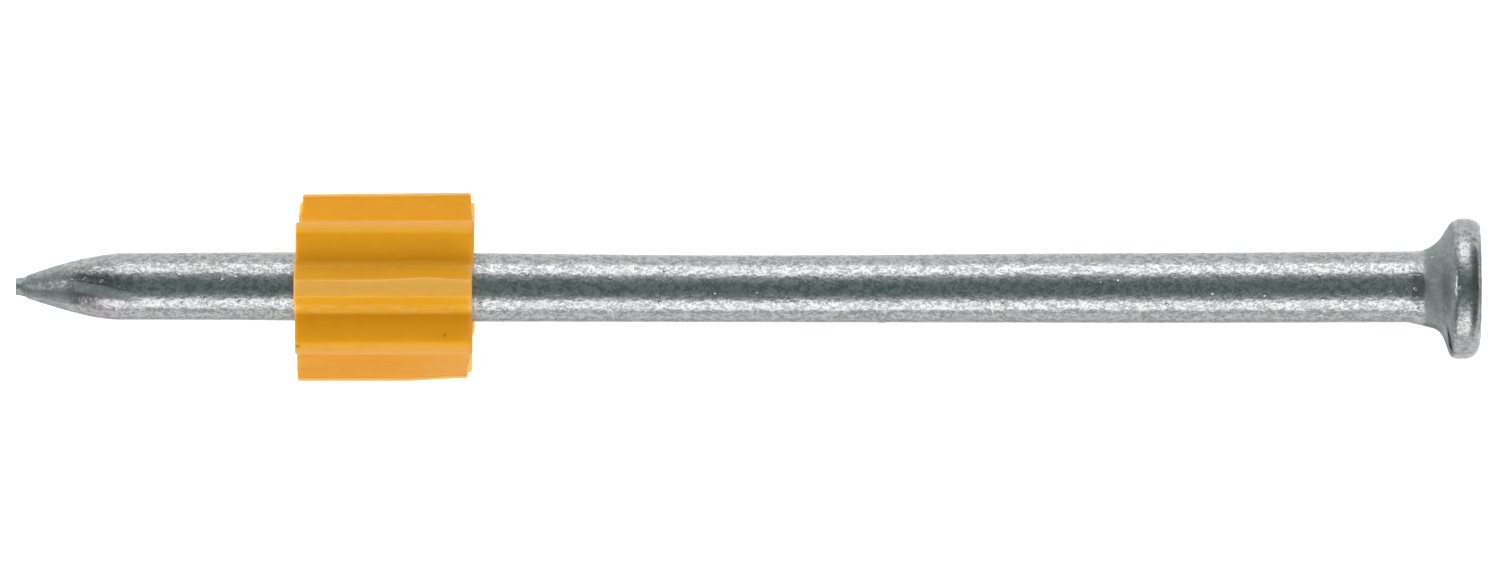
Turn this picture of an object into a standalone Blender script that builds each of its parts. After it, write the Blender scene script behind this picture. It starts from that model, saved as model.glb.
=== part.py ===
"""Drive pin for a powder-actuated tool: a forged steel nail carrying a ribbed plastic guide flute.

The pin lies along X. The origin is the centre of its drive face, the point is towards -X, and +Z is up.
One of the flute's nine ribs points straight up, so the pin lies on the two opposite ribs and on the rim
of its head. The flute slides along the shank. Lengths are in metres.
"""

import math

import bmesh
import bpy
from mathutils import Matrix, Vector

MM = 0.001
INCH = 0.0254

# The pin's nominal sizes: a 0.145 in shank, 3 in long up to its head, and a 0.300 in head.
SHANK_R = 0.145 * INCH / 2
SHANK_LENGTH = 3.0 * INCH
HEAD_R = 0.300 * INCH / 2

# The head's outline, from the drive face towards the shank.
FACE_CORNER_R = 0.80 * MM
RIM_LAND = 0.35 * MM
RIM_BACK_R = 0.62 * MM
CONE_ANGLE = math.radians(66)
CONE_LENGTH = 0.45 * MM
THROAT_R = 1.60 * MM
TAPER_ANGLE = math.radians(20)
TAPER_ROOT_R = 1.0 * MM

# The point: a small blunt nib on a ballistic nose, which swells quickly at first and then meets the shank.
NIB_R = 0.455 * MM
NIB_LENGTH = 0.45 * MM
NOSE_LENGTH = 6.24 * MM
NOSE_SLOPE = 0.345
NOSE_POWER = 2.2

# The flute: a star-shaped extrusion, bored to grip the shank. RIB_HEIGHT is from the axis to a rib's flat.
RIBS = 9
FLUTE_LENGTH = 9.63 * MM
FLUTE_SETBACK = 15.4 * MM
RIB_HEIGHT = 5.165 * MM
RIB_WIDTH = 0.92 * MM
VALLEY_R = 4.05 * MM
RIB_CORNER_R = 0.14 * MM
VALLEY_CORNER_R = 0.25 * MM
BORE_CLEARANCE = 0.05 * MM

# How finely round shapes are divided.
PIN_SIDES = 48
ARC_STEPS = 6
NOSE_STEPS = 11
SHANK_STEPS = 6
CORNER_STEPS = 3

ZINC = (0.42, 0.44, 0.45, 1.0)
ORANGE = (0.78, 0.33, 0.03, 1.0)


def clear_scene():
    for obj in list(bpy.data.objects):
        bpy.data.objects.remove(obj)


def material(name, colour, metallic, roughness):
    made = bpy.data.materials.new(name)
    made.use_nodes = True
    shader = made.node_tree.nodes["Principled BSDF"]
    shader.inputs["Base Color"].default_value = colour
    shader.inputs["Metallic"].default_value = metallic
    shader.inputs["Roughness"].default_value = roughness
    return made


def add_object(name, mesh_builder, paint):
    """A named object in the scene, holding what mesh_builder puts in a new bmesh."""
    bm = bmesh.new()
    mesh_builder(bm)
    bmesh.ops.recalc_face_normals(bm, faces=bm.faces)
    mesh = bpy.data.meshes.new(name)
    bm.to_mesh(mesh)
    bm.free()
    mesh.shade_smooth()
    mesh.set_sharp_from_angle(angle=math.radians(35))
    mesh.materials.append(paint)
    obj = bpy.data.objects.new(name, mesh)
    bpy.context.scene.collection.objects.link(obj)
    return obj


class Outline:
    """A path of (x, radius) points drawn by lines and arcs.

    A heading of 0 runs straight outwards, and a quarter turn more runs towards the point.
    """

    def __init__(self, x, radius):
        self.points = [(x, radius)]
        self.heading = 0.0

    def line(self, length):
        x, radius = self.points[-1]
        self.points.append((x - length * math.sin(self.heading), radius + length * math.cos(self.heading)))

    def arc(self, radius, turn, steps=ARC_STEPS):
        """Turns the heading on a circle of that radius. A negative turn hollows the outline."""
        chord = 2 * radius * math.sin(abs(turn) / steps / 2)
        for _ in range(steps):
            self.heading += turn / steps / 2
            self.line(chord)
            self.heading += turn / steps / 2


def head_outline():
    """The head from the edge of its flat drive face to where its flare meets the parallel shank."""
    path = Outline(0.0, HEAD_R - FACE_CORNER_R)
    path.arc(FACE_CORNER_R, math.pi / 2)
    path.line(RIM_LAND)
    path.arc(RIM_BACK_R, CONE_ANGLE)
    path.line(CONE_LENGTH)
    path.arc(THROAT_R, TAPER_ANGLE - CONE_ANGLE)
    root_drop = TAPER_ROOT_R * (1 - math.cos(TAPER_ANGLE))
    taper_drop = path.points[-1][1] - SHANK_R - root_drop
    path.line(taper_drop / math.sin(TAPER_ANGLE))
    path.arc(TAPER_ROOT_R, -TAPER_ANGLE, CORNER_STEPS)
    return path.points


HEAD = head_outline()
FLARE_X = HEAD[-1][0]
TIP_X = FLARE_X - SHANK_LENGTH
FLUTE_NOSE_X = TIP_X + FLUTE_SETBACK


def nose_radius(from_tip):
    """The ballistic nose's radius. Its slope falls from NOSE_SLOPE at the tip to nothing at the shank."""
    share = from_tip / NOSE_LENGTH
    full = NOSE_SLOPE * NOSE_LENGTH
    swell = full * (share - share ** (NOSE_POWER + 1) / (NOSE_POWER + 1))
    return SHANK_R - full * NOSE_POWER / (NOSE_POWER + 1) + swell


def nose_outline():
    """The shank's front end, from the parallel part to the edge of the nib's flat end."""
    points = []
    for step in range(NOSE_STEPS):
        from_tip = NOSE_LENGTH + (NIB_LENGTH - NOSE_LENGTH) * step / (NOSE_STEPS - 1)
        points.append((TIP_X + from_tip, max(nose_radius(from_tip), NIB_R)))
    points.append((TIP_X, NIB_R))
    return points


def pin_outline():
    """The whole pin from the drive face's centre, over the head and shank, to the nib's centre."""
    nose = nose_outline()
    shank_end = nose[0][0]
    shank = [
        (FLARE_X + (shank_end - FLARE_X) * step / SHANK_STEPS, SHANK_R) for step in range(1, SHANK_STEPS)
    ]
    return [(0.0, 0.0), *HEAD, *shank, *nose, (TIP_X, 0.0)]


def build_pin(bm):
    """Turns the outline a full circle about X."""
    verts = [bm.verts.new((x, 0.0, radius)) for x, radius in pin_outline()]
    edges = [bm.edges.new(pair) for pair in zip(verts, verts[1:])]
    bmesh.ops.spin(
        bm,
        geom=verts + edges,
        cent=(0, 0, 0),
        axis=(1, 0, 0),
        angle=math.tau,
        steps=PIN_SIDES,
        use_merge=True,
    )
    bmesh.ops.remove_doubles(bm, verts=bm.verts, dist=1e-7)


def fillet(before, corner, after, radius):
    """Points of an arc of that radius that rounds the corner of two straight sides."""
    into = (before - corner).normalized()
    out = (after - corner).normalized()
    half = into.angle(out) / 2
    reach = radius / math.tan(half)
    centre = corner + (into + out).normalized() * radius / math.sin(half)
    start = corner + into * reach - centre
    end = corner + out * reach - centre
    sweep = start.angle_signed(end)
    turns = [Matrix.Rotation(-sweep * step / CORNER_STEPS, 2) for step in range(CORNER_STEPS + 1)]
    return [centre + turn @ start for turn in turns]


def rib_corners():
    """The valley before a rib along +Z and the rib's two upper corners, clockwise as (y, z)."""
    half_pitch = math.pi / RIBS
    return [
        Vector((-VALLEY_R * math.sin(half_pitch), VALLEY_R * math.cos(half_pitch))),
        Vector((-RIB_WIDTH / 2, RIB_HEIGHT)),
        Vector((RIB_WIDTH / 2, RIB_HEIGHT)),
    ]


def star_outline():
    """The flute's section with its corners rounded and its first rib along +Z."""
    corners = []
    for rib in range(RIBS):
        turn = Matrix.Rotation(-math.tau * rib / RIBS, 2)
        corners += [turn @ corner for corner in rib_corners()]
    radii = [VALLEY_CORNER_R, RIB_CORNER_R, RIB_CORNER_R] * RIBS
    points = []
    for i, corner in enumerate(corners):
        points += fillet(corners[i - 1], corner, corners[(i + 1) % len(corners)], radii[i])
    return points


def build_flute(bm):
    """Walls the star outline and the bore between two flat ends."""
    bore_r = SHANK_R + BORE_CLEARANCE
    star = star_outline()
    bore = [point.normalized() * bore_r for point in star]
    nose_x = FLUTE_NOSE_X
    tail_x = FLUTE_NOSE_X + FLUTE_LENGTH
    rings = []
    for x, outline in ((nose_x, star), (tail_x, star), (tail_x, bore), (nose_x, bore)):
        rings.append([bm.verts.new((x, point.x, point.y)) for point in outline])
    for ring, following in zip(rings, rings[1:] + rings[:1]):
        for i in range(len(star)):
            bm.faces.new((ring[i - 1], ring[i], following[i], following[i - 1]))


def main():
    clear_scene()
    add_object("drive_pin", build_pin, material("zinc_steel", ZINC, 1.0, 0.42))
    add_object("guide_flute", build_flute, material("orange_plastic", ORANGE, 0.0, 0.45))


main()
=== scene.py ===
"""The looks of a fluted drive pin: a zinc-plated steel nail with a ribbed orange guide flute.

Both pieces are lathed or extruded from outlines, with the small unevenness of forged and moulded parts.
Round the pin's axis, an angle of 0 is on top (+Z) and a positive angle turns towards the far side (+Y).
Lengths are in metres, and MM multiplies millimetres.
"""

import math

import bpy
import numpy as np
from mathutils import Matrix, Vector, noise


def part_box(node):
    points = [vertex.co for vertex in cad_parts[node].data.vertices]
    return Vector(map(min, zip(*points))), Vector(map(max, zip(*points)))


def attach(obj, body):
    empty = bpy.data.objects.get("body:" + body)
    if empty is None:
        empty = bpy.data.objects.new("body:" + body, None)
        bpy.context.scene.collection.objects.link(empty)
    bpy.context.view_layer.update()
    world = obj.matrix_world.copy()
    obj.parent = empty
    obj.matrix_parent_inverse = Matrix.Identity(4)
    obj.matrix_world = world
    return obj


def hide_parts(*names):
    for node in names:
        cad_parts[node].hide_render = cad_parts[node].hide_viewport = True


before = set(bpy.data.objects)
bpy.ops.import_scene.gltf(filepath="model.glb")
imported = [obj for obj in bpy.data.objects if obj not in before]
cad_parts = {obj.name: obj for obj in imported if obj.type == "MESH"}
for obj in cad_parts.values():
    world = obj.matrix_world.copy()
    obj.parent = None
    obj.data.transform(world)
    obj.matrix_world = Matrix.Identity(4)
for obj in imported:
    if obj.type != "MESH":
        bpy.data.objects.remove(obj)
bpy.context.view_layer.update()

MM = 0.001


# ------------------------------------------------------------------ places taken from the frame

PIN_LOW, PIN_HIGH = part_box("drive_pin")
FLUTE_LOW, FLUTE_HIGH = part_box("guide_flute")
TIP_X = PIN_LOW.x
FACE_X = PIN_HIGH.x
MIDDLE_X = (TIP_X + FACE_X) / 2
HEAD_R = PIN_HIGH.z
RIB_HEIGHT = FLUTE_HIGH.z


# ------------------------------------------------------------------ helpers


def new_object(name, points, faces, material):
    """A smooth-shaded mesh object in the scene."""
    mesh = bpy.data.meshes.new(name)
    mesh.from_pydata([tuple(p) for p in points], [], faces)
    mesh.validate()
    mesh.shade_smooth()
    mesh.materials.append(material)
    obj = bpy.data.objects.new(name, mesh)
    bpy.context.scene.collection.objects.link(obj)
    return obj


def paint(obj, name, values):
    """Stores one number for each vertex, which a material reads by its name."""
    attribute = obj.data.attributes.new(name, "FLOAT", "POINT")
    attribute.data.foreach_set("value", np.asarray(values, np.float32))


def tube_faces(rings, sides, closed=False):
    """Quads that join each ring of points to the next one, and the last to the first when it is closed."""
    faces = []
    for ring in range(rings if closed else rings - 1):
        start = ring * sides
        following = (ring + 1) % rings * sides
        for i in range(sides):
            j = (i + 1) % sides
            faces.append((start + i, start + j, following + j, following + i))
    return faces


def lerp(a, b, share):
    return a + (b - a) * share


def smooth_step(low, high, value):
    t = np.clip((value - low) / (high - low), 0.0, 1.0)
    return t * t * (3 - 2 * t)


def hump(value, centre, width):
    """A smooth hump, 1 at the centre and faded at about twice the width."""
    return np.exp(-(((value - centre) / width) ** 2))


def angle_gap(angle, centre):
    """The signed angle from centre, between minus and plus half a turn."""
    return (angle - centre + math.pi) % math.tau - math.pi


def lumps(points, size, seed):
    """Smooth noise, between about -1 and 1, with lumps about that size. Size may be one for each axis."""
    offset = Vector((seed * 7.31, seed * 3.17, seed * 5.73))
    scaled = np.asarray(points) / np.asarray(size)
    return np.array([noise.noise(Vector(p) + offset) for p in scaled])


# ------------------------------------------------------------------ the pin's shape

PIN_SIDES = 192
SHANK_RINGS = 290
SHANK_R_AT_HEAD = 1.958 * MM
SHANK_R_AT_POINT = 1.836 * MM


class Path:
    """An outline of (x, radius) points, drawn from the drive face towards the point."""

    def __init__(self, x, radius):
        self.points = [(x, radius)]
        self.heading = 0.0

    def line(self, length, steps=1):
        for _ in range(steps):
            x, radius = self.points[-1]
            step = length / steps
            self.points.append((x - step * math.sin(self.heading), radius + step * math.cos(self.heading)))

    def arc(self, radius, turn, steps):
        chord = 2 * radius * math.sin(abs(turn) / steps / 2)
        for _ in range(steps):
            self.heading += turn / steps / 2
            self.line(chord)
            self.heading += turn / steps / 2


def head_path(rim_r, corner_r, crown_r, land, back_r, cone, cone_length, throat_r, taper):
    """The head's outline from its drive face to the shank. Lengths are in MM, cone and taper in degrees."""
    cone = math.radians(cone)
    taper = math.radians(taper)
    crown = math.radians(40)
    centre_r = 0.02
    root_r = 1.0 * MM
    corner_rise = corner_r * math.cos(crown)
    crown_rise = crown_r * (1 - math.cos(crown))
    path = Path(FACE_X, centre_r * MM)
    path.line((rim_r - corner_rise - crown_rise - centre_r) * MM, steps=9)
    path.arc(corner_r * MM, math.pi / 2 - crown, steps=7)
    path.arc(crown_r * MM, crown, steps=9)
    path.line(land * MM, steps=4)
    path.arc(back_r * MM, cone, steps=12)
    path.line(cone_length * MM, steps=26)
    path.arc(throat_r * MM, taper - cone, steps=12)
    root_drop = root_r * (1 - math.cos(taper))
    drop = path.points[-1][1] - SHANK_R_AT_HEAD - root_drop
    path.line(drop / math.sin(taper), steps=12)
    path.arc(root_r, -taper, steps=4)
    return np.array(path.points)


NIB_R = 0.46 * MM
NIB_LENGTH = 0.60 * MM
NOSE_STEPS = 80
NIB_STEPS = 10


def nose_path(length, slope, power):
    """The point's outline from the parallel shank to the blunt nib and in to the nib's centre."""
    full = slope * length
    points = []
    for step in range(NOSE_STEPS + 1):
        from_tip = lerp(length, NIB_LENGTH, step / NOSE_STEPS)
        share = from_tip / length
        fall = full * (power / (power + 1) - share + share ** (power + 1) / (power + 1))
        points.append((TIP_X + from_tip, max(SHANK_R_AT_POINT - fall, NIB_R)))
    shoulder_r = points[-1][1]
    for step in range(1, NIB_STEPS + 1):
        share = step / NIB_STEPS
        points.append((TIP_X + NIB_LENGTH * (1 - share), lerp(shoulder_r, NIB_R, share**0.4)))
    for share in (0.9, 0.6, 0.3, 0.04):
        points.append((TIP_X, NIB_R * share))
    return np.array(points)


def shank_path(start, end):
    shares = np.arange(1, SHANK_RINGS) / SHANK_RINGS
    return start + (end - start) * shares[:, None]


def side_path(head, nose):
    return np.vstack([head, shank_path(head[-1], nose[0]), nose])


def far_path():
    """The outline on the +Y side, where the flare is one long hollow."""
    head = head_path(
        rim_r=3.740,
        corner_r=0.26,
        crown_r=1.19,
        land=0.19,
        back_r=0.85,
        cone=57,
        cone_length=0.713,
        throat_r=1.73,
        taper=6,
    )
    return side_path(head, nose_path(length=5.94 * MM, slope=0.350, power=2.2))


def near_path():
    """The outline on the -Y side, where the flare tapers first and then turns out quickly."""
    head = head_path(
        rim_r=3.945,
        corner_r=0.90,
        crown_r=0.90,
        land=0.39,
        back_r=0.48,
        cone=70,
        cone_length=0.88,
        throat_r=0.85,
        taper=12.5,
    )
    return side_path(head, nose_path(length=5.70 * MM, slope=0.320, power=3.2))


# Flats that the pointing dies left on the nose: where each one faces in degrees, how far it is from the
# axis at FLATS_FROM_TIP, and its slope along X. Lengths are in MM.
NOSE_FLATS = ((95, 1.665, 0.15), (-138, 1.63, 0.14))
FLATS_FROM_TIP = 4.6


def cut_flats(x, radius, angle):
    """Holds the radius down to each flat, on the nose only."""
    from_tip = (x - TIP_X) / MM
    on_nose = (from_tip > 2.0) & (from_tip < 8.0)
    for facing, distance, slope in NOSE_FLATS:
        gap = angle_gap(angle, math.radians(facing))
        plane = (distance + slope * (from_tip - FLATS_FROM_TIP)) * MM / np.maximum(np.cos(gap), 0.2)
        radius = np.where(on_nose & (abs(gap) < 1.0), np.minimum(radius, plane), radius)
    return radius


def from_crease(x, angle):
    """The angle above the crease that slants across the top of the point, and how much of it is there."""
    from_tip = (x - TIP_X) / MM
    crease = np.radians(10.9 - 6.42 * (from_tip - 3.5))
    return angle_gap(angle, crease), smooth_step(2.8, 3.6, from_tip) * smooth_step(6.9, 6.2, from_tip)


def press_crease(x, radius, angle):
    """The crease that the pointing dies left, and the flattened wedge below it."""
    above, fade = from_crease(x, angle)
    wedge = smooth_step(0.0, -0.05, above) * smooth_step(-0.50, -0.20, above)
    return radius - MM * fade * (0.030 * hump(above, 0, 0.035) + 0.020 * wedge)


LAP_X = -1.72 * MM
LAP_ANGLE = -1.0


def lap_marks(x, angle):
    """How much a point belongs to the lap's slit, to the crease that leads into it and to its raised lip."""
    slit_angle = angle_gap(angle, LAP_ANGLE)
    slit_x = x - LAP_X + 0.30 * MM * slit_angle
    slit = hump(slit_x, 0, 0.095 * MM) * smooth_step(0.18, 0.12, abs(slit_angle))
    lead = hump(slit_x + 0.05 * MM, 0, 0.11 * MM) * hump(angle_gap(angle, -0.80), 0, 0.07)
    lip = hump(slit_x, 0.15 * MM, 0.07 * MM) * hump(slit_angle, 0, 0.2)
    return slit, lead, lip


def fold_lap(x, radius, angle):
    """The forging lap behind the rim: a short slit with a crease leading into it."""
    slit, lead, lip = lap_marks(x, angle)
    return radius - 0.20 * MM * slit - 0.06 * MM * lead + 0.025 * MM * lip


# Two grains of plating that stand out on the near side of the shank.
NICKS_X = (-32.7 * MM, -20.3 * MM)
NICKS_ANGLE = math.radians(-88)
NICK_HEIGHT = 0.04 * MM


def raise_nicks(x, radius, angle):
    across = hump(angle_gap(angle, NICKS_ANGLE), 0, 0.06)
    for nick_x in NICKS_X:
        radius = radius + NICK_HEIGHT * hump(x, nick_x, 0.14 * MM) * across
    return radius


def swell_shank(x, radius):
    """Slow changes of the drawn wire's diameter."""
    fat = 0.045 * MM * hump(x, -60 * MM, 9 * MM)
    thin = 0.050 * MM * hump(x, -38.5 * MM, 13 * MM)
    return radius + fat - thin


def bend(x):
    """How far the pin's axis lies to the +Y side. The pin isn't quite straight."""
    main_bow = 0.115 * hump(x, -37.8 * MM, 16.4 * MM) + 0.045 * hump(x, -15.9 * MM, 9.3 * MM)
    return MM * (0.044 - main_bow + 0.027 * hump(x, -69.2 * MM, 6.6 * MM))


def roughen(points, radius):
    """Moves each point in or out by the unevenness of the plated, forged surface."""
    x = points[:, 0]
    on_head = smooth_step(-4.2 * MM, -2.2 * MM, x)
    on_nose = smooth_step(TIP_X + 6.5 * MM, TIP_X + 4.0 * MM, x)
    rise = (0.004 + 0.022 * on_head + 0.008 * on_nose) * lumps(points, 0.9 * MM, seed=1)
    rise += (0.006 + 0.006 * on_nose) * lumps(points, (1.0 * MM, 0.45 * MM, 0.45 * MM), seed=2)
    rise += (0.004 + 0.005 * on_nose) * lumps(points, 0.22 * MM, seed=3)
    inner = np.minimum(radius / (0.5 * MM), 1.0)
    points[:, 1:] *= (1 + rise * MM * inner / np.maximum(radius, 0.1 * MM))[:, None]
    on_face = x > FACE_X - 0.15 * MM
    dish = 0.02 * lumps(points, 0.9 * MM, seed=4) - 0.03
    points[:, 0] += dish * MM * on_face


def build_pin(material):
    """Turns an outline about X that changes from the near one to the far one, and closes its two ends."""
    far = far_path()
    near = near_path()
    rings = len(far)
    angles = np.arange(PIN_SIDES) * math.tau / PIN_SIDES
    side = (1 + np.sin(angles)) / 2
    x = lerp(near[:, :1], far[:, :1], side)
    radius = lerp(near[:, 1:], far[:, 1:], side)
    angle = np.broadcast_to(angles, x.shape)
    radius = swell_shank(x, radius)
    radius = cut_flats(x, radius, angle)
    radius = press_crease(x, radius, angle)
    radius = fold_lap(x, radius, angle)
    radius = raise_nicks(x, radius, angle)
    points = np.stack([x, radius * np.sin(angle), radius * np.cos(angle)], axis=-1).reshape(-1, 3)
    roughen(points, radius.reshape(-1))
    points[:, 1] += bend(points[:, 0])
    faces = tube_faces(rings, PIN_SIDES)
    faces.append(tuple(reversed(range(PIN_SIDES))))
    faces.append(tuple(range((rings - 1) * PIN_SIDES, rings * PIN_SIDES)))
    pin = new_object("drive_pin_forged", points, faces, material)
    paint(pin, "dull", dullness(points, angle.reshape(-1)))
    # The dark attribute holds painted shade and a darker line along the near side of the shank.
    paint(pin, "dark", darkness(x.reshape(-1), radius.reshape(-1), angle.reshape(-1)))
    paint(pin, "blush", blush(x.reshape(-1), angle.reshape(-1)))
    return pin


# Where the rim starts, and where the flare starts and ends, along X in MM.
RIM_START = -1.45
FLARE_START = -3.20
FLARE_END = -1.40


def dullness(points, angle):
    """How dull the plating is: 1 on the flare, which the tumbling media didn't reach, and less elsewhere."""
    x = points[:, 0] / MM
    tip = TIP_X / MM
    ragged_x = x + 0.10 * lumps(points, 0.5 * MM, seed=5)
    flare = smooth_step(FLARE_START, FLARE_START + 0.18, ragged_x)
    flare *= smooth_step(FLARE_END, FLARE_END - 0.22, ragged_x)
    worn = 0.35 * hump(angle_gap(angle, -0.13), 0, 0.16)
    rim = (0.15 + worn) * smooth_step(RIM_START, RIM_START + 0.10, x)
    point = 0.60 * smooth_step(tip + 3.4, tip + 2.2, x)
    above, fade = from_crease(points[:, 0], angle)
    wedge = fade * smooth_step(0.02, -0.03, above) * smooth_step(-0.44, -0.30, above)
    return np.clip(flare + rim + point + 0.9 * wedge, 0, 1)


def darkness(x, radius, angle):
    """Painted shade in the slit, creases, rim and flare's sides, painted dark reflections on the point and
    head, and a darker near-side line.
    """
    slit, lead, _ = lap_marks(x, angle)
    above, fade = from_crease(x, angle)
    sideways = abs(np.sin(angle))
    x = x / MM
    rim = smooth_step(RIM_START, RIM_START + 0.10, x)
    # Painted shade on the rim, strongest along its two sides.
    rim_shade = 0.03 * rim * (1 + 7 * smooth_step(0.85, 0.97, sideways))
    # A darker line along the near side of the shank.
    near_dark_line = 0.55 * (1 - rim) * hump(angle_gap(angle, math.radians(-73)), 0, 0.14)
    # Painted shade in the point's crease, and a painted dark reflection just above it.
    crease = fade * (0.45 * hump(above, 0, 0.03) + 0.42 * hump(above, 0.24, 0.19))
    flare = smooth_step(FLARE_START, FLARE_START + 0.2, x) * smooth_step(FLARE_END, FLARE_END - 0.2, x)
    # Painted shade on the flare's two sides.
    flare_side_shade = 0.10 * flare * smooth_step(0.25, 0.6, sideways)
    # A painted dark reflection on the middle of the drive face's outer edge.
    corner = smooth_step(-0.22, -0.06, x) * smooth_step(3.1 * MM, 3.3 * MM, radius)
    corner = 0.55 * corner * smooth_step(0.85, 0.5, sideways)
    # Painted shade in the lap's slit and in the crease that leads into it.
    return np.clip(1.6 * slit + 0.8 * lead + rim_shade + near_dark_line + crease + flare_side_shade + corner, 0, 1)


def blush(x, angle):
    """Where the plating has a faint pink stain, low on the near side of the point."""
    from_tip = (x - TIP_X) / MM
    return hump(from_tip, 4.4, 1.3) * hump(angle_gap(angle, math.radians(-52)), 0, 0.5)


# ------------------------------------------------------------------ the flute's shape

RIBS = 9
RIB_PITCH = math.tau / RIBS
VALLEY_R = 4.05 * MM
BORE_R = 2.04 * MM
FLUTE_RINGS = 110
END_BEVEL = 0.07 * MM
BORE_BEVEL = 0.12 * MM
FACE_SHARES = (0.15, 0.4, 0.7, 0.95)

# How far each rib's ends stand out from the flute's two ends, at its root and at its tip, in MM.
RIB_ENDS = {
    0: ((0.11, 0.11), (-0.05, -0.05)),
    1: ((0.05, 0.02), (0.02, 0.10)),
    2: ((-0.14, -0.31), (0.00, -0.13)),
    3: ((-0.05, -0.10), (-0.05, 0.04)),
    4: ((0.04, 0.02), (0.03, -0.06)),
    5: ((0.02, -0.12), (-0.02, 0.05)),
    6: ((0.05, 0.06), (-0.08, -0.10)),
    7: ((-0.03, -0.03), (-0.13, -0.32)),
    8: ((0.08, 0.07), (-0.02, -0.02)),
}

# A rib's tip, in MM: how far its corners are from its middle and below its full height, how far its crown
# rises between them, and how round the corners are. Two ribs have one corner that is worn rounder.
RIB_HALF_WIDTH = 0.46
TIP_CORNER_DROP = 0.06
CROWN_RISE = 0.06
CORNER_R = 0.07
WORN_CORNER_R = 0.27
CROWN_STEPS = 6
CORNER_STEPS = 5


def rounded(before, corner, after, radius):
    """Points of an arc of that radius that rounds the corner between two straight sides."""
    into = (before - corner).normalized()
    out = (after - corner).normalized()
    half = into.angle(out) / 2
    reach = radius / math.tan(half)
    centre = corner + (into + out).normalized() * radius / math.sin(half)
    start = corner + into * reach - centre
    end = corner + out * reach - centre
    sweep = start.angle_signed(end)
    turns = [Matrix.Rotation(-sweep * step / CORNER_STEPS, 2) for step in range(CORNER_STEPS + 1)]
    return [centre + turn @ start for turn in turns]


def rib_shape(rib, share):
    """A rib's left and right tip corners and its height, at a share of the flute's length from its nose."""
    left = -RIB_HALF_WIDTH
    right = RIB_HALF_WIDTH
    height = RIB_HEIGHT / MM
    if rib == 2:
        height += lerp(-0.01, 0.08, share)
    if rib == 7:
        height -= 0.15 * float(smooth_step(0.62, 0.97, share))
    if rib == 0:
        left = -0.503
        right = 0.40 + 0.12 * math.exp(-(((share - 0.74) / 0.17) ** 2)) - 0.02 * share
    if rib == 1:
        right = 0.33 + 0.13 * share**0.4
    return left, right, height


def rib_section(rib, share):
    """A rib's valley, left corner, crown, right corner and next valley, as (y, z) in MM with it along +Z."""
    left, right, height = rib_shape(rib, share)
    half = RIB_PITCH / 2
    valley = VALLEY_R / MM
    corner_height = height - TIP_CORNER_DROP
    start = Vector((-valley * math.sin(half), valley * math.cos(half)))
    end = Vector((valley * math.sin(half), valley * math.cos(half)))
    crown = []
    for step in range(1, CROWN_STEPS):
        t = step / CROWN_STEPS
        crown.append(Vector((lerp(left, right, t), corner_height + 4 * CROWN_RISE * t * (1 - t))))
    return start, Vector((left, corner_height)), crown, Vector((right, corner_height)), end


# The parts of a rib: the flank before its tip, its tip and the flank after it.
RISING, TIP, FALLING = 0, 1, 2
FLANK_SHARES = (0.06, 0.16, 0.27, 0.38, 0.50, 0.62, 0.73, 0.84, 0.92, 0.97)


def star_ring(share):
    """The flute's section at a share of its length: (rib, y, z, part) for each point, with y and z in MM."""
    ring = []
    for rib in range(RIBS):
        start, tip_left, crown, tip_right, end = rib_section(rib, share)
        left_r = WORN_CORNER_R if rib == 1 else CORNER_R
        right_r = WORN_CORNER_R if rib == 8 else CORNER_R
        flank_in = rounded(start, tip_left, crown[0], left_r)
        flank_out = rounded(crown[-1], tip_right, end, right_r)
        rise = [start.lerp(flank_in[0], t) for t in FLANK_SHARES]
        fall = [flank_out[-1].lerp(end, 1 - t) for t in reversed(FLANK_SHARES)]
        ring += [(rib, point.x, point.y, RISING) for point in rise]
        ring += [(rib, point.x, point.y, TIP) for point in flank_in + crown + flank_out]
        ring += [(rib, point.x, point.y, FALLING) for point in fall]
    return ring


def sheen_paint(rib, part, across, height, share):
    """Painted sheen, from 0 to 1, at a point of a rib: whitish painted highlights on the tips and two flanks,
    and painted light near the ends.
    """
    side = across / (RIB_HALF_WIDTH * MM)
    outward = np.where(rib < RIBS / 2, side, -side)
    # Painted highlight on each rib's tip, strongest at its outer edge; on the middle rib, strongest along one
    # edge.
    tip = smooth_step(-0.7, 1.05, outward)
    middle_tip = 0.72 + 0.28 * smooth_step(0.0, 1.0, side) - 0.35 * smooth_step(-0.75, -1.05, side)
    painted_sheen = np.where(part == TIP, np.where(rib == 0, middle_tip, tip), 0.0)
    # Painted sheen partway up the middle rib's near flank.
    near_flank = (rib == 0) & (part == RISING)
    painted_sheen = np.where(near_flank, 0.14 * hump(height, 0.3, 0.3), painted_sheen)
    # Painted sheen on a low flank, growing towards the tail.
    low_flank = (rib == 7) & (part == FALLING)
    painted_sheen = np.where(low_flank, 0.25 + 0.35 * smooth_step(0.4, 1.0, share), painted_sheen)
    # Painted light near the flute's two ends, where light comes through the plastic.
    ends = 0.30 * smooth_step(0.965, 0.99, share) + 0.20 * smooth_step(0.02, 0.005, share)
    return np.clip(painted_sheen + ends, 0, 1)


def drag_marks(rib, part, height):
    """Where the mould dragged on the middle rib's two sides. Height is 0 at a rib's root and 1 at its tip."""
    near = (rib == 0) & (part == RISING)
    far = (rib == 0) & (part == FALLING)
    marks = np.where(near, 0.08 + 0.9 * hump(height, 0.35, 0.18), 0.0)
    return np.where(far, 0.9 * hump(height, 0.28, 0.07) + 0.8 * hump(height, 0.50, 0.06), marks)


# Dark specks in the plastic: where each one is and how far it reaches along x and y, in MM.
SPECKS = (
    (-64.63, -3.22, 0.16, 0.07),
    (-62.99, -3.38, 0.10, 0.05),
    (-56.59, -2.62, 0.07, 0.06),
    (-64.46, -0.70, 0.07, 0.05),
)


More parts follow.
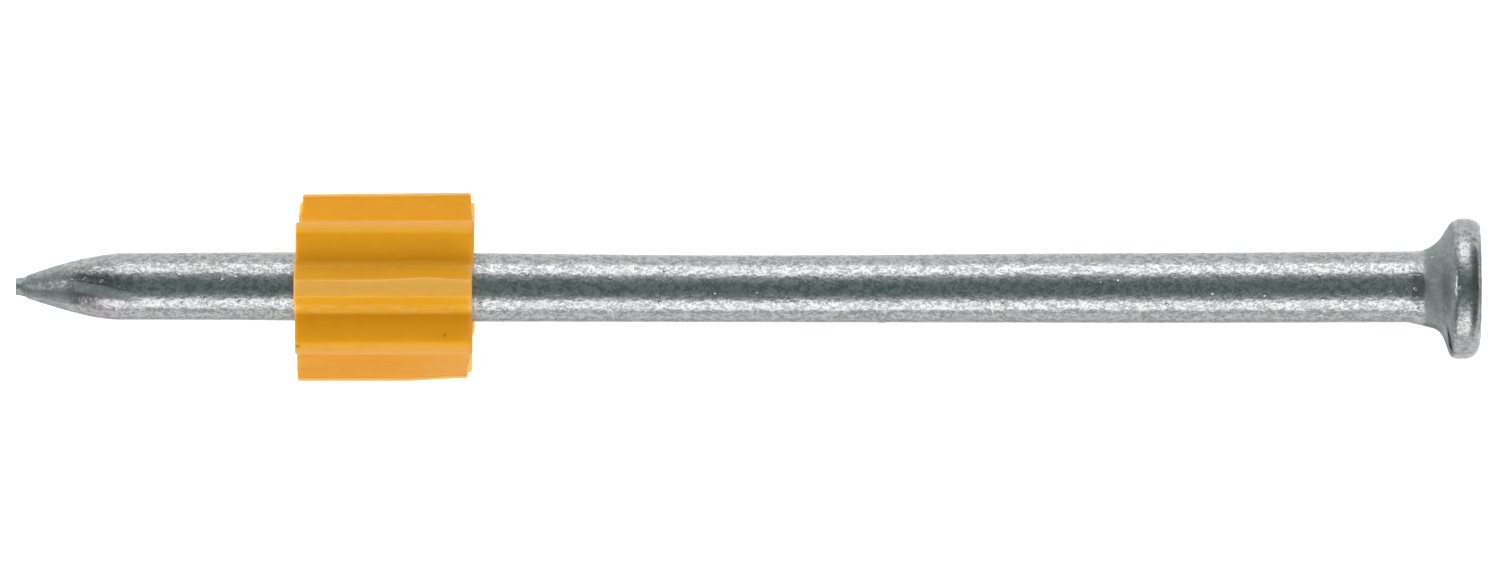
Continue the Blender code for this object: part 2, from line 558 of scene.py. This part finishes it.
def rib_painted_shade(rib, part, height, painted_sheen):
    """How much painted shade darkens each part of the ribs, from 0 to 1. Height is as in drag_marks."""
    root = smooth_step(0.4, 0.0, height)
    # Painted shade on the middle rib's far flank, and high on its near flank.
    specks_and_shade = np.where((rib == 0) & (part == FALLING), 0.33, 0.0)
    specks_and_shade = np.where((rib == 0) & (part == RISING), 0.20 * smooth_step(0.45, 0.8, height), specks_and_shade)
    # Painted shade at the roots of the flanks beside the middle rib.
    specks_and_shade = np.where((rib == 1) & (part == RISING), 0.08 * root, specks_and_shade)
    specks_and_shade = np.where((rib == 8) & (part == FALLING), 0.03 + 0.09 * root, specks_and_shade)
    # Painted shade that tones down the painted sheen on the tips beside the middle rib.
    specks_and_shade = np.where((rib == 8) & (part == TIP), 0.42 * painted_sheen, specks_and_shade)
    specks_and_shade = np.where((rib == 1) & (part == TIP), 0.36 * painted_sheen, specks_and_shade)
    # Painted shade on the tips of the two outline ribs, and on a low flank.
    specks_and_shade = np.where(((rib == 2) | (rib == 7)) & (part == TIP), 0.4, specks_and_shade)
    return np.where((rib == 7) & (part == FALLING), 0.13, specks_and_shade)


def specks(points):
    """How much a point of the flute's upper side belongs to a speck, from 0 to 1."""
    specks_and_shade = np.zeros(len(points))
    for x, y, reach_x, reach_y in SPECKS:
        spot = hump(points[:, 0], x * MM, reach_x * MM) * hump(points[:, 1], y * MM, reach_y * MM)
        specks_and_shade = np.maximum(specks_and_shade, spot * (points[:, 2] > 0))
    return specks_and_shade


def wall_x(rib, height, share):
    """Where each point of the flute's side lies along X, between its rib's own two ends."""
    ends = np.array([RIB_ENDS[k] for k in range(RIBS)])
    low = FLUTE_LOW.x - MM * lerp(ends[rib, 0, 0], ends[rib, 0, 1], height)
    high = FLUTE_HIGH.x + MM * lerp(ends[rib, 1, 0], ends[rib, 1, 1], height)
    return lerp(low, high, share)


def ripple(points):
    """Moves each point in or out by the unevenness of the moulding."""
    rise = 0.010 * lumps(points, (2.5 * MM, 0.8 * MM, 0.8 * MM), seed=11)
    rise += 0.004 * lumps(points, (0.9 * MM, 0.15 * MM, 0.15 * MM), seed=12)
    points[:, 1:] *= (1 + rise * MM / np.hypot(points[:, 1], points[:, 2]))[:, None]


def bevel_ends(rings):
    """Draws the first and last rings in and moves their neighbours close to them."""
    for end, neighbour, inwards in ((0, 1, 1), (-1, -2, -1)):
        edge_r = np.hypot(rings[end][:, 1], rings[end][:, 2])
        rings[end][:, 1:] *= (1 - END_BEVEL / edge_r)[:, None]
        rings[neighbour][:, 0] = rings[end][:, 0] + inwards * END_BEVEL


def end_face(edge, around, inwards):
    """Rings from the edge of an end face to its bore. Inwards is 1 at the nose and -1 at the tail."""
    edge_r = np.hypot(edge[:, 1], edge[:, 2])
    middle_x = edge[:, 0].mean()
    rings = []
    for share in FACE_SHARES:
        radius = lerp(edge_r, BORE_R + BORE_BEVEL, share / FACE_SHARES[-1])
        x = lerp(edge[:, 0], middle_x, smooth_step(0, 1, share))
        rings.append(np.stack([x, radius * np.sin(around), radius * np.cos(around)], axis=-1))
    x = np.full(len(edge), middle_x + inwards * BORE_BEVEL)
    rings.append(np.stack([x, BORE_R * np.sin(around), BORE_R * np.cos(around)], axis=-1))
    return rings


def pad(values, count):
    """Values for the flute's side, whose vertices come first, and 0 for its ends and bore."""
    padded = np.zeros(count)
    padded[: values.size] = values.reshape(-1)
    return padded


def build_flute(material):
    """Joins the side's rings, the tail's end face, the bore and the nose's end face into one closed skin."""
    share = np.linspace(0, 1, FLUTE_RINGS)
    section = np.array([star_ring(one_share) for one_share in share])
    rib = section[0, :, 0].astype(int)
    part = section[:, :, 3]
    turn = section[:, :, 0] * RIB_PITCH
    across = section[:, :, 1] * MM
    up = section[:, :, 2] * MM
    y = across * np.cos(turn) + up * np.sin(turn)
    z = up * np.cos(turn) - across * np.sin(turn)
    height = np.clip((up - VALLEY_R * math.cos(RIB_PITCH / 2)) / (RIB_HEIGHT - VALLEY_R), 0, 1)
    side = np.stack([wall_x(rib, height, share[:, None]), y, z], axis=-1)
    ripple(side.reshape(-1, 3))
    bevel_ends(side)
    around = np.arctan2(side[0][:, 1], side[0][:, 2])
    nose = end_face(side[0], around, 1)
    tail = end_face(side[-1], around, -1)
    rings = [*side, *tail, *reversed(nose)]
    points = np.vstack(rings)
    faces = tube_faces(len(rings), len(rib), closed=True)
    flute = new_object("guide_flute_moulded", points, faces, material)
    # Painted sheen: whitish painted highlights on the ribs.
    painted_sheen = sheen_paint(rib, part, across, height, share[:, None])
    # Painted shade on the ribs.
    rib_shade = rib_painted_shade(rib, part, height, painted_sheen)
    paint(flute, "painted_sheen", pad(painted_sheen, len(points)))
    paint(flute, "drag", pad(drag_marks(rib, part, height), len(points)))
    # The painted shade and the real dark specks share one attribute.
    paint(flute, "specks_and_shade", np.maximum(pad(rib_shade, len(points)), specks(points)))
    return flute


# ------------------------------------------------------------------ materials


class Graph:
    """A short way to add nodes to a node tree and link them."""

    def __init__(self, tree):
        self.tree = tree

    def add(self, kind):
        return self.tree.nodes.new(kind)

    def put(self, socket, value):
        if isinstance(value, bpy.types.NodeSocket):
            self.tree.links.new(value, socket)
        else:
            socket.default_value = value

    def math(self, operation, first, second=0.0):
        node = self.add("ShaderNodeMath")
        node.operation = operation
        self.put(node.inputs[0], first)
        self.put(node.inputs[1], second)
        return node.outputs["Value"]

    def range(self, value, low, high, to_low=0.0, to_high=1.0, smooth=True):
        node = self.add("ShaderNodeMapRange")
        node.interpolation_type = "SMOOTHSTEP" if smooth else "LINEAR"
        self.put(node.inputs["Value"], value)
        node.inputs["From Min"].default_value = low
        node.inputs["From Max"].default_value = high
        node.inputs["To Min"].default_value = to_low
        node.inputs["To Max"].default_value = to_high
        return node.outputs["Result"]

    def mix(self, factor, first, second):
        node = self.add("ShaderNodeMix")
        node.data_type = "RGBA"
        self.put(node.inputs["Factor"], factor)
        self.put(node.inputs["A"], first)
        self.put(node.inputs["B"], second)
        return node.outputs["Result"]


class Paint(Graph):
    """A new material's node tree, with textures that use the piece's own coordinates."""

    def __init__(self, name):
        self.material = bpy.data.materials.new(name)
        self.material.use_nodes = True
        super().__init__(self.material.node_tree)
        self.shader = self.tree.nodes["Principled BSDF"]
        self.position = self.add("ShaderNodeTexCoord").outputs["Object"]

    def set(self, name, value):
        self.put(self.shader.inputs[name], value)

    def attribute(self, name):
        node = self.add("ShaderNodeAttribute")
        node.attribute_name = name
        return node.outputs["Fac"]

    def scaled_position(self, scale, offset=0.0):
        mapping = self.add("ShaderNodeMapping")
        mapping.inputs["Location"].default_value = (offset, offset, offset)
        mapping.inputs["Scale"].default_value = scale
        self.put(mapping.inputs["Vector"], self.position)
        return mapping.outputs["Vector"]

    def noise(self, size, stretch=1.0, detail=2.0, roughness=0.5, seed=0.0):
        """Noise between 0 and 1 with lumps about that size, drawn out along X by the stretch."""
        node = self.add("ShaderNodeTexNoise")
        node.inputs["Scale"].default_value = 1.0
        node.inputs["Detail"].default_value = detail
        node.inputs["Roughness"].default_value = roughness
        self.put(node.inputs["Vector"], self.scaled_position((1 / size / stretch, 1 / size, 1 / size), seed))
        return node.outputs["Fac"]

    def spots(self, spacing, radius, share):
        """Round spots: 1 in the middle of a share of the cells and 0 beyond the radius, in cell sizes."""
        cells = self.add("ShaderNodeTexVoronoi")
        cells.inputs["Scale"].default_value = 1.0
        self.put(cells.inputs["Vector"], self.scaled_position((1 / spacing, 1 / spacing, 1 / spacing)))
        split = self.add("ShaderNodeSeparateColor")
        self.put(split.inputs["Color"], cells.outputs["Color"])
        chosen = self.math("LESS_THAN", split.outputs["Red"], share)
        return self.math("MULTIPLY", chosen, self.range(cells.outputs["Distance"], radius, radius * 0.3))

    def bump(self, height, distance):
        node = self.add("ShaderNodeBump")
        node.inputs["Strength"].default_value = 1.0
        node.inputs["Distance"].default_value = distance
        self.put(node.inputs["Height"], height)
        self.put(self.shader.inputs["Normal"], node.outputs["Normal"])


ZINC_PIT = (0.180, 0.200, 0.208, 1)
ZINC_POLISHED = (0.360, 0.360, 0.356, 1)
ZINC_PATCH = (0.30, 0.305, 0.305, 1)
ZINC_BLUSH = (0.31, 0.265, 0.29, 1)
ZINC_DULL_PIT = (0.20, 0.225, 0.228, 1)
ZINC_DULL = (0.26, 0.285, 0.285, 1)
ZINC_GRAIN = (0.46, 0.46, 0.45, 1)
# The near-black that painted shade and the near-side dark line mix towards.
PAINTED_DARK = (0.01, 0.012, 0.012, 1)


def zinc_material():
    """Tumbled zinc plating: a grainy metal with dark pits and bright grains, and a dull flare."""
    n = Paint("zinc_steel")
    n.set("Metallic", 1.0)
    grain = n.noise(0.28 * MM, stretch=1.3, detail=2.0, roughness=0.5)
    fine = n.noise(0.12 * MM, stretch=1.2, detail=1.0, seed=3.0)
    patch = n.noise(1.2 * MM, stretch=2.0, detail=3.0, seed=5.0)
    grains = n.spots(0.75 * MM, 0.17, 0.55)
    dull = n.attribute("dull")
    tone = n.math("ADD", n.math("MULTIPLY", grain, 0.5), n.math("MULTIPLY", fine, 0.5))
    bright = n.mix(n.range(tone, 0.40, 0.59), ZINC_PIT, ZINC_POLISHED)
    patched = n.mix(n.range(patch, 0.45, 0.95), bright, ZINC_PATCH)
    blushing = n.math("MULTIPLY", n.attribute("blush"), n.range(grain, 0.35, 0.6))
    patched = n.mix(blushing, patched, ZINC_BLUSH)
    flare = n.mix(n.range(tone, 0.35, 0.65), ZINC_DULL_PIT, ZINC_DULL)
    colour = n.mix(dull, patched, flare)
    shown = n.math("MULTIPLY", grains, n.range(dull, 0.0, 1.0, 0.5, 1.0))
    colour = n.mix(shown, colour, ZINC_GRAIN)
    # The dark attribute mixes in painted shade and the near-side dark line.
    n.set("Base Color", n.mix(n.attribute("dark"), colour, PAINTED_DARK))
    shine = n.range(tone, 0.35, 0.65, 0.30, 0.20, smooth=False)
    n.set("Roughness", n.math("ADD", shine, n.math("MULTIPLY", dull, 0.27)))
    height = n.math("ADD", n.math("MULTIPLY", grain, 0.8), n.math("MULTIPLY", fine, 0.16))
    height = n.math("ADD", height, n.math("MULTIPLY", grains, 0.9))
    n.bump(height, 0.025 * MM)
    return n.material


# Each kind of plastic runs from its first colour to its second along the streaks.
PLASTIC_BODY = ((0.915, 0.432, 0.001, 1), (0.955, 0.462, 0.003, 1))
# PLASTIC_SHEEN is the whitish colour of the painted highlight.
PLASTIC_SHEEN = ((0.955, 0.52, 0.10, 1), (0.985, 0.56, 0.16, 1))
PLASTIC_SCRAPED = (0.98, 0.66, 0.30, 1)
# PLASTIC_SPECK_AND_SHADE darkens both the dark specks and the painted shade.
PLASTIC_SPECK_AND_SHADE = (0.38, 0.17, 0.01, 1)


def plastic_material():
    """Satin polyethylene that lets light in a little, with fine drag marks along the ribs' sides."""
    n = Paint("orange_plastic")
    streak = n.noise(0.07 * MM, stretch=14.0, detail=2.0)
    dashes = n.noise(0.10 * MM, stretch=5.0, detail=2.0, seed=8.0)
    drag = n.attribute("drag")
    dragged = n.math("MULTIPLY", drag, n.range(dashes, 0.50, 0.60))
    streaked = n.range(streak, 0.3, 0.7)
    # The painted sheen mixes in a whitish painted highlight.
    clean = n.mix(n.attribute("painted_sheen"), n.mix(streaked, *PLASTIC_BODY), n.mix(streaked, *PLASTIC_SHEEN))
    scraped = n.mix(n.math("MULTIPLY", dragged, 0.7), clean, PLASTIC_SCRAPED)
    # The dark specks and the painted shade darken the colour.
    n.set("Base Color", n.mix(n.attribute("specks_and_shade"), scraped, PLASTIC_SPECK_AND_SHADE))
    n.set("Roughness", 0.42)
    n.set("Specular IOR Level", 0.22)
    n.set("Subsurface Weight", 1.0)
    n.set("Subsurface Radius", (0.8, 0.45, 0.08))
    n.set("Subsurface Scale", 0.4 * MM)
    height = n.math("ADD", n.math("MULTIPLY", streak, 0.3), n.math("MULTIPLY", drag, dashes))
    n.bump(height, 0.04 * MM)
    return n.material


# ------------------------------------------------------------------ stage, light and camera

VIEW_WIDTH = 82.05 * MM
CAMERA_HEIGHT = 1.2
CAMERA_SHIFT = (0.096 * MM, 0.11 * MM)
SENSOR_WIDTH = 36.0
LIGHT_DISTANCE = 0.5
LIGHT_COLOUR = (1.0, 0.97, 0.965)


def add_floor():
    """A pale floor that touches the flute's two lower ribs and the rim of the head."""
    n = Paint("floor_white")
    n.set("Base Color", (0.80, 0.80, 0.80, 1))
    n.set("Roughness", 0.8)
    n.set("Emission Color", (1, 1, 1, 1))
    n.set("Emission Strength", 0.8)
    half = 2.5
    corners = [(-half, -half, 0), (half, -half, 0), (half, half, 0), (-half, half, 0)]
    floor = new_object("floor", corners, [(0, 1, 2, 3)], n.material)
    flute_middle_x = (FLUTE_LOW.x + FLUTE_HIGH.x) / 2
    rise = (HEAD_R + FLUTE_LOW.z) / (flute_middle_x - FACE_X)
    floor.location = (flute_middle_x, 0, FLUTE_LOW.z)
    floor.rotation_euler = (0, math.atan(rise), 0)


def add_light(name, direction, length, height, radiance, shift=0.0):
    """A soft box that shines from a direction. Its length runs level, and shift moves it along X."""
    light = bpy.data.lights.new(name, "AREA")
    light.shape = "RECTANGLE"
    light.size = length
    light.size_y = height
    light.energy = radiance * math.pi * length * height
    light.color = LIGHT_COLOUR
    obj = bpy.data.objects.new(name, light)
    bpy.context.scene.collection.objects.link(obj)
    place = Vector(direction).normalized() * LIGHT_DISTANCE
    obj.location = Vector((MIDDLE_X + shift, 0, 0)) + place
    obj.rotation_mode = "QUATERNION"
    obj.rotation_quaternion = (-place).to_track_quat("-Z", "Y")
    obj.visible_camera = False


def add_lights():
    """Two strips along the pin, a weaker one beside the far strip, and a small one towards the point."""
    add_light("strip_far", (0, 1, 0.44), length=0.24, height=0.36, radiance=2.28, shift=0.04)
    add_light("strip_near", (0, -1, 0.56), length=0.50, height=0.34, radiance=2.10, shift=0.05)
    add_light("far_left", (-0.42, 1, 0.46), length=0.14, height=0.26, radiance=1.7)
    add_light("left", (-1.05, 0.13, 1), length=0.32, height=0.08, radiance=4.5)


ROOM_SIDES = (0.75, 0.77, 0.78, 1)
ROOM_OVERHEAD = (0.300, 0.388, 0.402, 1)


def set_world():
    """A room that is grey at its two long sides and darker and cooler overhead, in a band along X.

    How high a direction points is taken as 1 straight up and less towards the sides. The band is wider
    towards -X, where it is darker too, and the whole room is dimmer towards +X.
    """
    world = bpy.data.worlds.new("studio")
    bpy.context.scene.world = world
    world.use_nodes = True
    graph = Graph(world.node_tree)
    split = graph.add("ShaderNodeSeparateXYZ")
    graph.put(split.inputs["Vector"], graph.add("ShaderNodeTexCoord").outputs["Generated"])
    x = split.outputs["X"]
    across = graph.math("MULTIPLY", split.outputs["Y"], graph.range(x, -0.42, -0.08, 0.40, 1.0))
    along = graph.math("MULTIPLY", x, 0.6)
    lowness = graph.math("ADD", graph.math("MULTIPLY", across, across), graph.math("MULTIPLY", along, along))
    height = graph.math("SQRT", graph.math("SUBTRACT", 1.0, lowness))
    ramp = graph.add("ShaderNodeValToRGB")
    ramp.color_ramp.interpolation = "EASE"
    ramp.color_ramp.elements[0].position = 0.80
    ramp.color_ramp.elements[0].color = ROOM_SIDES
    ramp.color_ramp.elements[1].position = 0.97
    ramp.color_ramp.elements[1].color = ROOM_OVERHEAD
    graph.put(ramp.inputs["Fac"], height)
    dim_right = graph.range(x, 0.25, 0.75, 1.0, 0.25)
    dark_left = graph.range(x, -0.40, -0.10, 0.55, 0.0)
    near_top = graph.range(height, 0.84, 0.94, smooth=False)
    strength = graph.math("SUBTRACT", dim_right, graph.math("MULTIPLY", dark_left, near_top))
    background = world.node_tree.nodes["Background"]
    graph.put(background.inputs["Color"], ramp.outputs["Color"])
    graph.put(background.inputs["Strength"], strength)


def add_camera():
    """A camera that looks straight down on the pin from far off."""
    camera = bpy.data.cameras.new("camera")
    camera.sensor_width = SENSOR_WIDTH
    camera.lens = SENSOR_WIDTH * CAMERA_HEIGHT / VIEW_WIDTH
    camera.clip_start = 0.1
    camera.clip_end = 10
    obj = bpy.data.objects.new("camera", camera)
    bpy.context.scene.collection.objects.link(obj)
    obj.location = (MIDDLE_X + CAMERA_SHIFT[0], CAMERA_SHIFT[1], CAMERA_HEIGHT)
    bpy.context.scene.camera = obj


def main():
    bpy.context.scene.view_settings.view_transform = "Standard"
    add_camera()
    set_world()
    add_floor()
    add_lights()
    pin = build_pin(zinc_material())
    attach(pin, "pin")
    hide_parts("drive_pin")
    flute = build_flute(plastic_material())
    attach(flute, "flute")
    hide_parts("guide_flute")


main()
